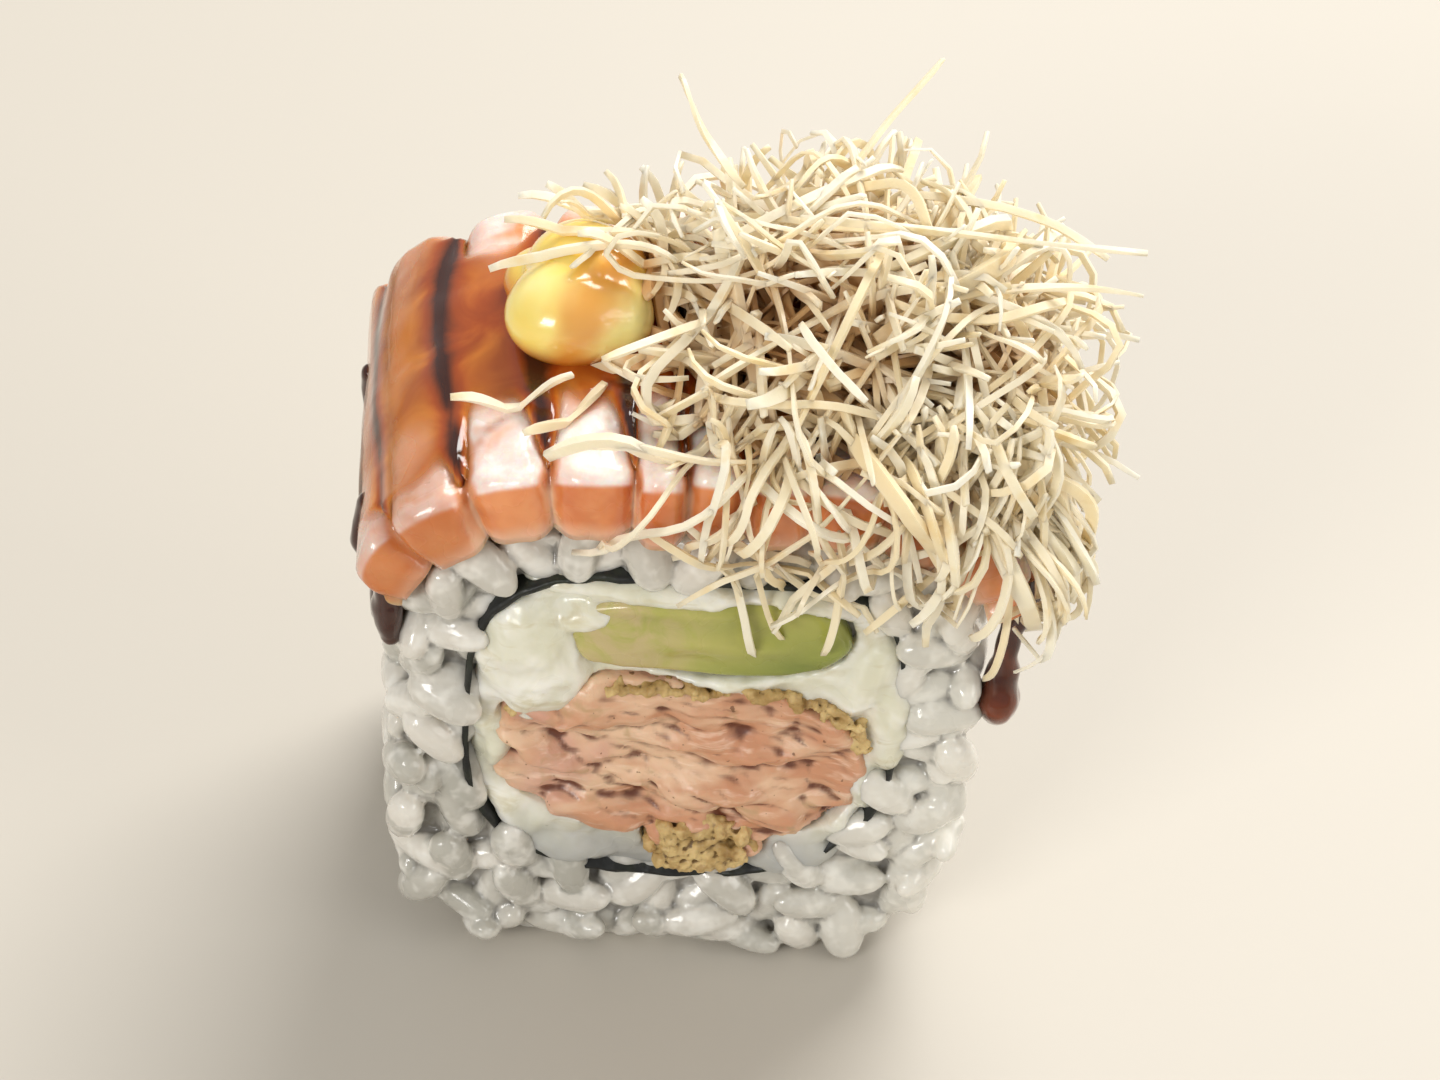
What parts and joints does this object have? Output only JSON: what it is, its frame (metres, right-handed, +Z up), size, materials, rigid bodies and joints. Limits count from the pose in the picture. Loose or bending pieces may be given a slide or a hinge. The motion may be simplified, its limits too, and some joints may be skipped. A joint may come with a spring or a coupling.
{
  "type": "salmon uramaki roll piece",
  "caption": "Cut piece of inside-out sushi roll: rice round nori, cream cheese, avocado and fried salmon, under a seared salmon slice with mayonnaise and crispy shreds.",
  "frame": {"origin": "middle of the flat underside of the rice, halfway between the two cut faces", "axes": "+Z up, +Y from the shown cut face to the back one, +X across the roll towards the hanging shreds"},
  "size_m": [0.0593, 0.0427, 0.0701],
  "materials": {
    "cooked_rice": "moist, slightly translucent",
    "nori": "moist dark sheet",
    "cream_cheese": "soft satin",
    "avocado": "buttery satin",
    "fried_salmon": "flaky, moist, crumbed edge",
    "seared_salmon": "oily, glazed with sauce",
    "mayonnaise": "glossy",
    "crispy_shreds": "dry and crisp",
    "sweet_sauce": "wet, thick glaze",
    "brown_crumb": "dry fried crumb"
  },
  "bodies": {
    "root": {"rice": "cooked_rice", "nori": "nori", "cream_cheese": "cream_cheese", "avocado": "avocado", "fried_salmon": "fried_salmon", "salmon_slice": "seared_salmon", "mayonnaise": "mayonnaise", "crispy_shreds": "crispy_shreds"}
  },
  "joints": []
}
